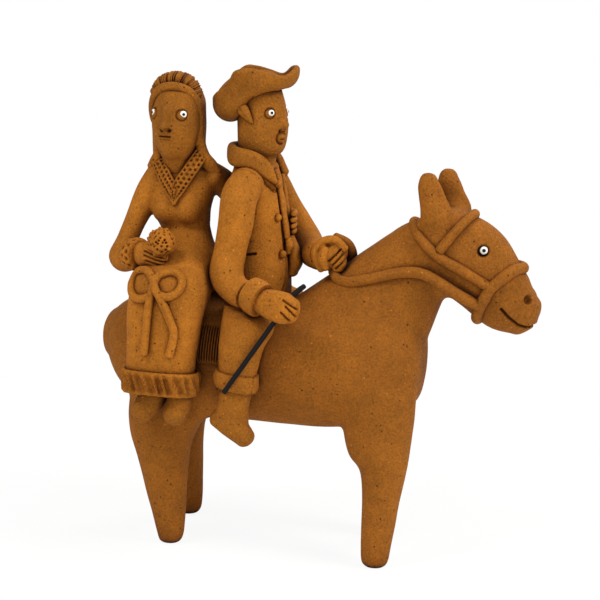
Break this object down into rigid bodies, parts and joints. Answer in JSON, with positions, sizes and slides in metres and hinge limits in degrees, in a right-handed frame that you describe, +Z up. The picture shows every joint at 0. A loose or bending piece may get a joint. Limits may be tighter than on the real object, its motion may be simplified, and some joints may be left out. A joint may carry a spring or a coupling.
{
  "type": "clay horse rider figurine",
  "caption": "Hand-modelled terracotta ornament of a standing horse with a man in a hat holding reins and a stick, and a woman with a bouquet side-saddle behind.",
  "frame": {"origin": "centre of the group's box, on the floor under the horse's feet", "axes": "+X the way the horse faces, +Y towards the horse's left side, +Z up"},
  "size_m": [0.1996, 0.0982, 0.2154],
  "materials": {
    "horse_clay": "matte fired terracotta",
    "rider_clay": "matte fired terracotta",
    "eye_slip": "white slip",
    "pupil_paint": "black paint",
    "black_stick": "black paint"
  },
  "bodies": {
    "figurine": {"horse_trunk": "horse_clay", "horse_neck": "horse_clay", "horse_head": "horse_clay", "near_front_leg": "horse_clay", "far_front_leg": "horse_clay", "near_hind_leg": "horse_clay", "far_hind_leg": "horse_clay", "near_ear": "horse_clay", "far_ear": "horse_clay", "tail": "horse_clay", "horse_eyes": "eye_slip", "horse_pupils": "pupil_paint", "crown_strap": "horse_clay", "brow_band": "horse_clay", "nose_band": "horse_clay", "near_rein": "horse_clay", "far_rein": "horse_clay", "saddle_blanket": "horse_clay", "man_torso": "rider_clay", "man_head": "rider_clay", "man_ears": "rider_clay", "man_eyes": "eye_slip", "man_pupils": "pupil_paint", "hat": "rider_clay", "coat_collar": "rider_clay", "coat_placket": "rider_clay", "coat_buttons": "rider_clay", "right_sleeve": "rider_clay", "right_cuff": "rider_clay", "right_hand": "rider_clay", "left_sleeve": "rider_clay", "left_cuff": "rider_clay", "left_hand": "rider_clay", "right_trouser_leg": "rider_clay", "right_trouser_cuff": "rider_clay", "right_boot": "rider_clay", "left_trouser_leg": "rider_clay", "left_trouser_cuff": "rider_clay", "left_boot": "rider_clay", "woman_bodice": "rider_clay", "woman_skirt": "rider_clay", "skirt_frill": "rider_clay", "woman_shoes": "rider_clay", "lace_collar": "rider_clay", "sash_bow": "rider_clay", "woman_right_sleeve": "rider_clay", "woman_right_cuff": "rider_clay", "woman_right_hand": "rider_clay", "bouquet": "rider_clay", "woman_left_sleeve": "rider_clay", "woman_left_hand": "rider_clay", "woman_head": "rider_clay", "woman_eyes": "eye_slip", "woman_pupils": "pupil_paint", "veil": "rider_clay", "headband": "rider_clay", "hair_crest": "rider_clay"},
    "stick": {"stick": "black_stick"}
  },
  "joints": [
    {"name": "stick_slide", "type": "slide", "parent": "figurine", "child": "stick", "axis": [0.5163, 0.2131, 0.8295], "range_m": [0, 0.036]}
  ]
}
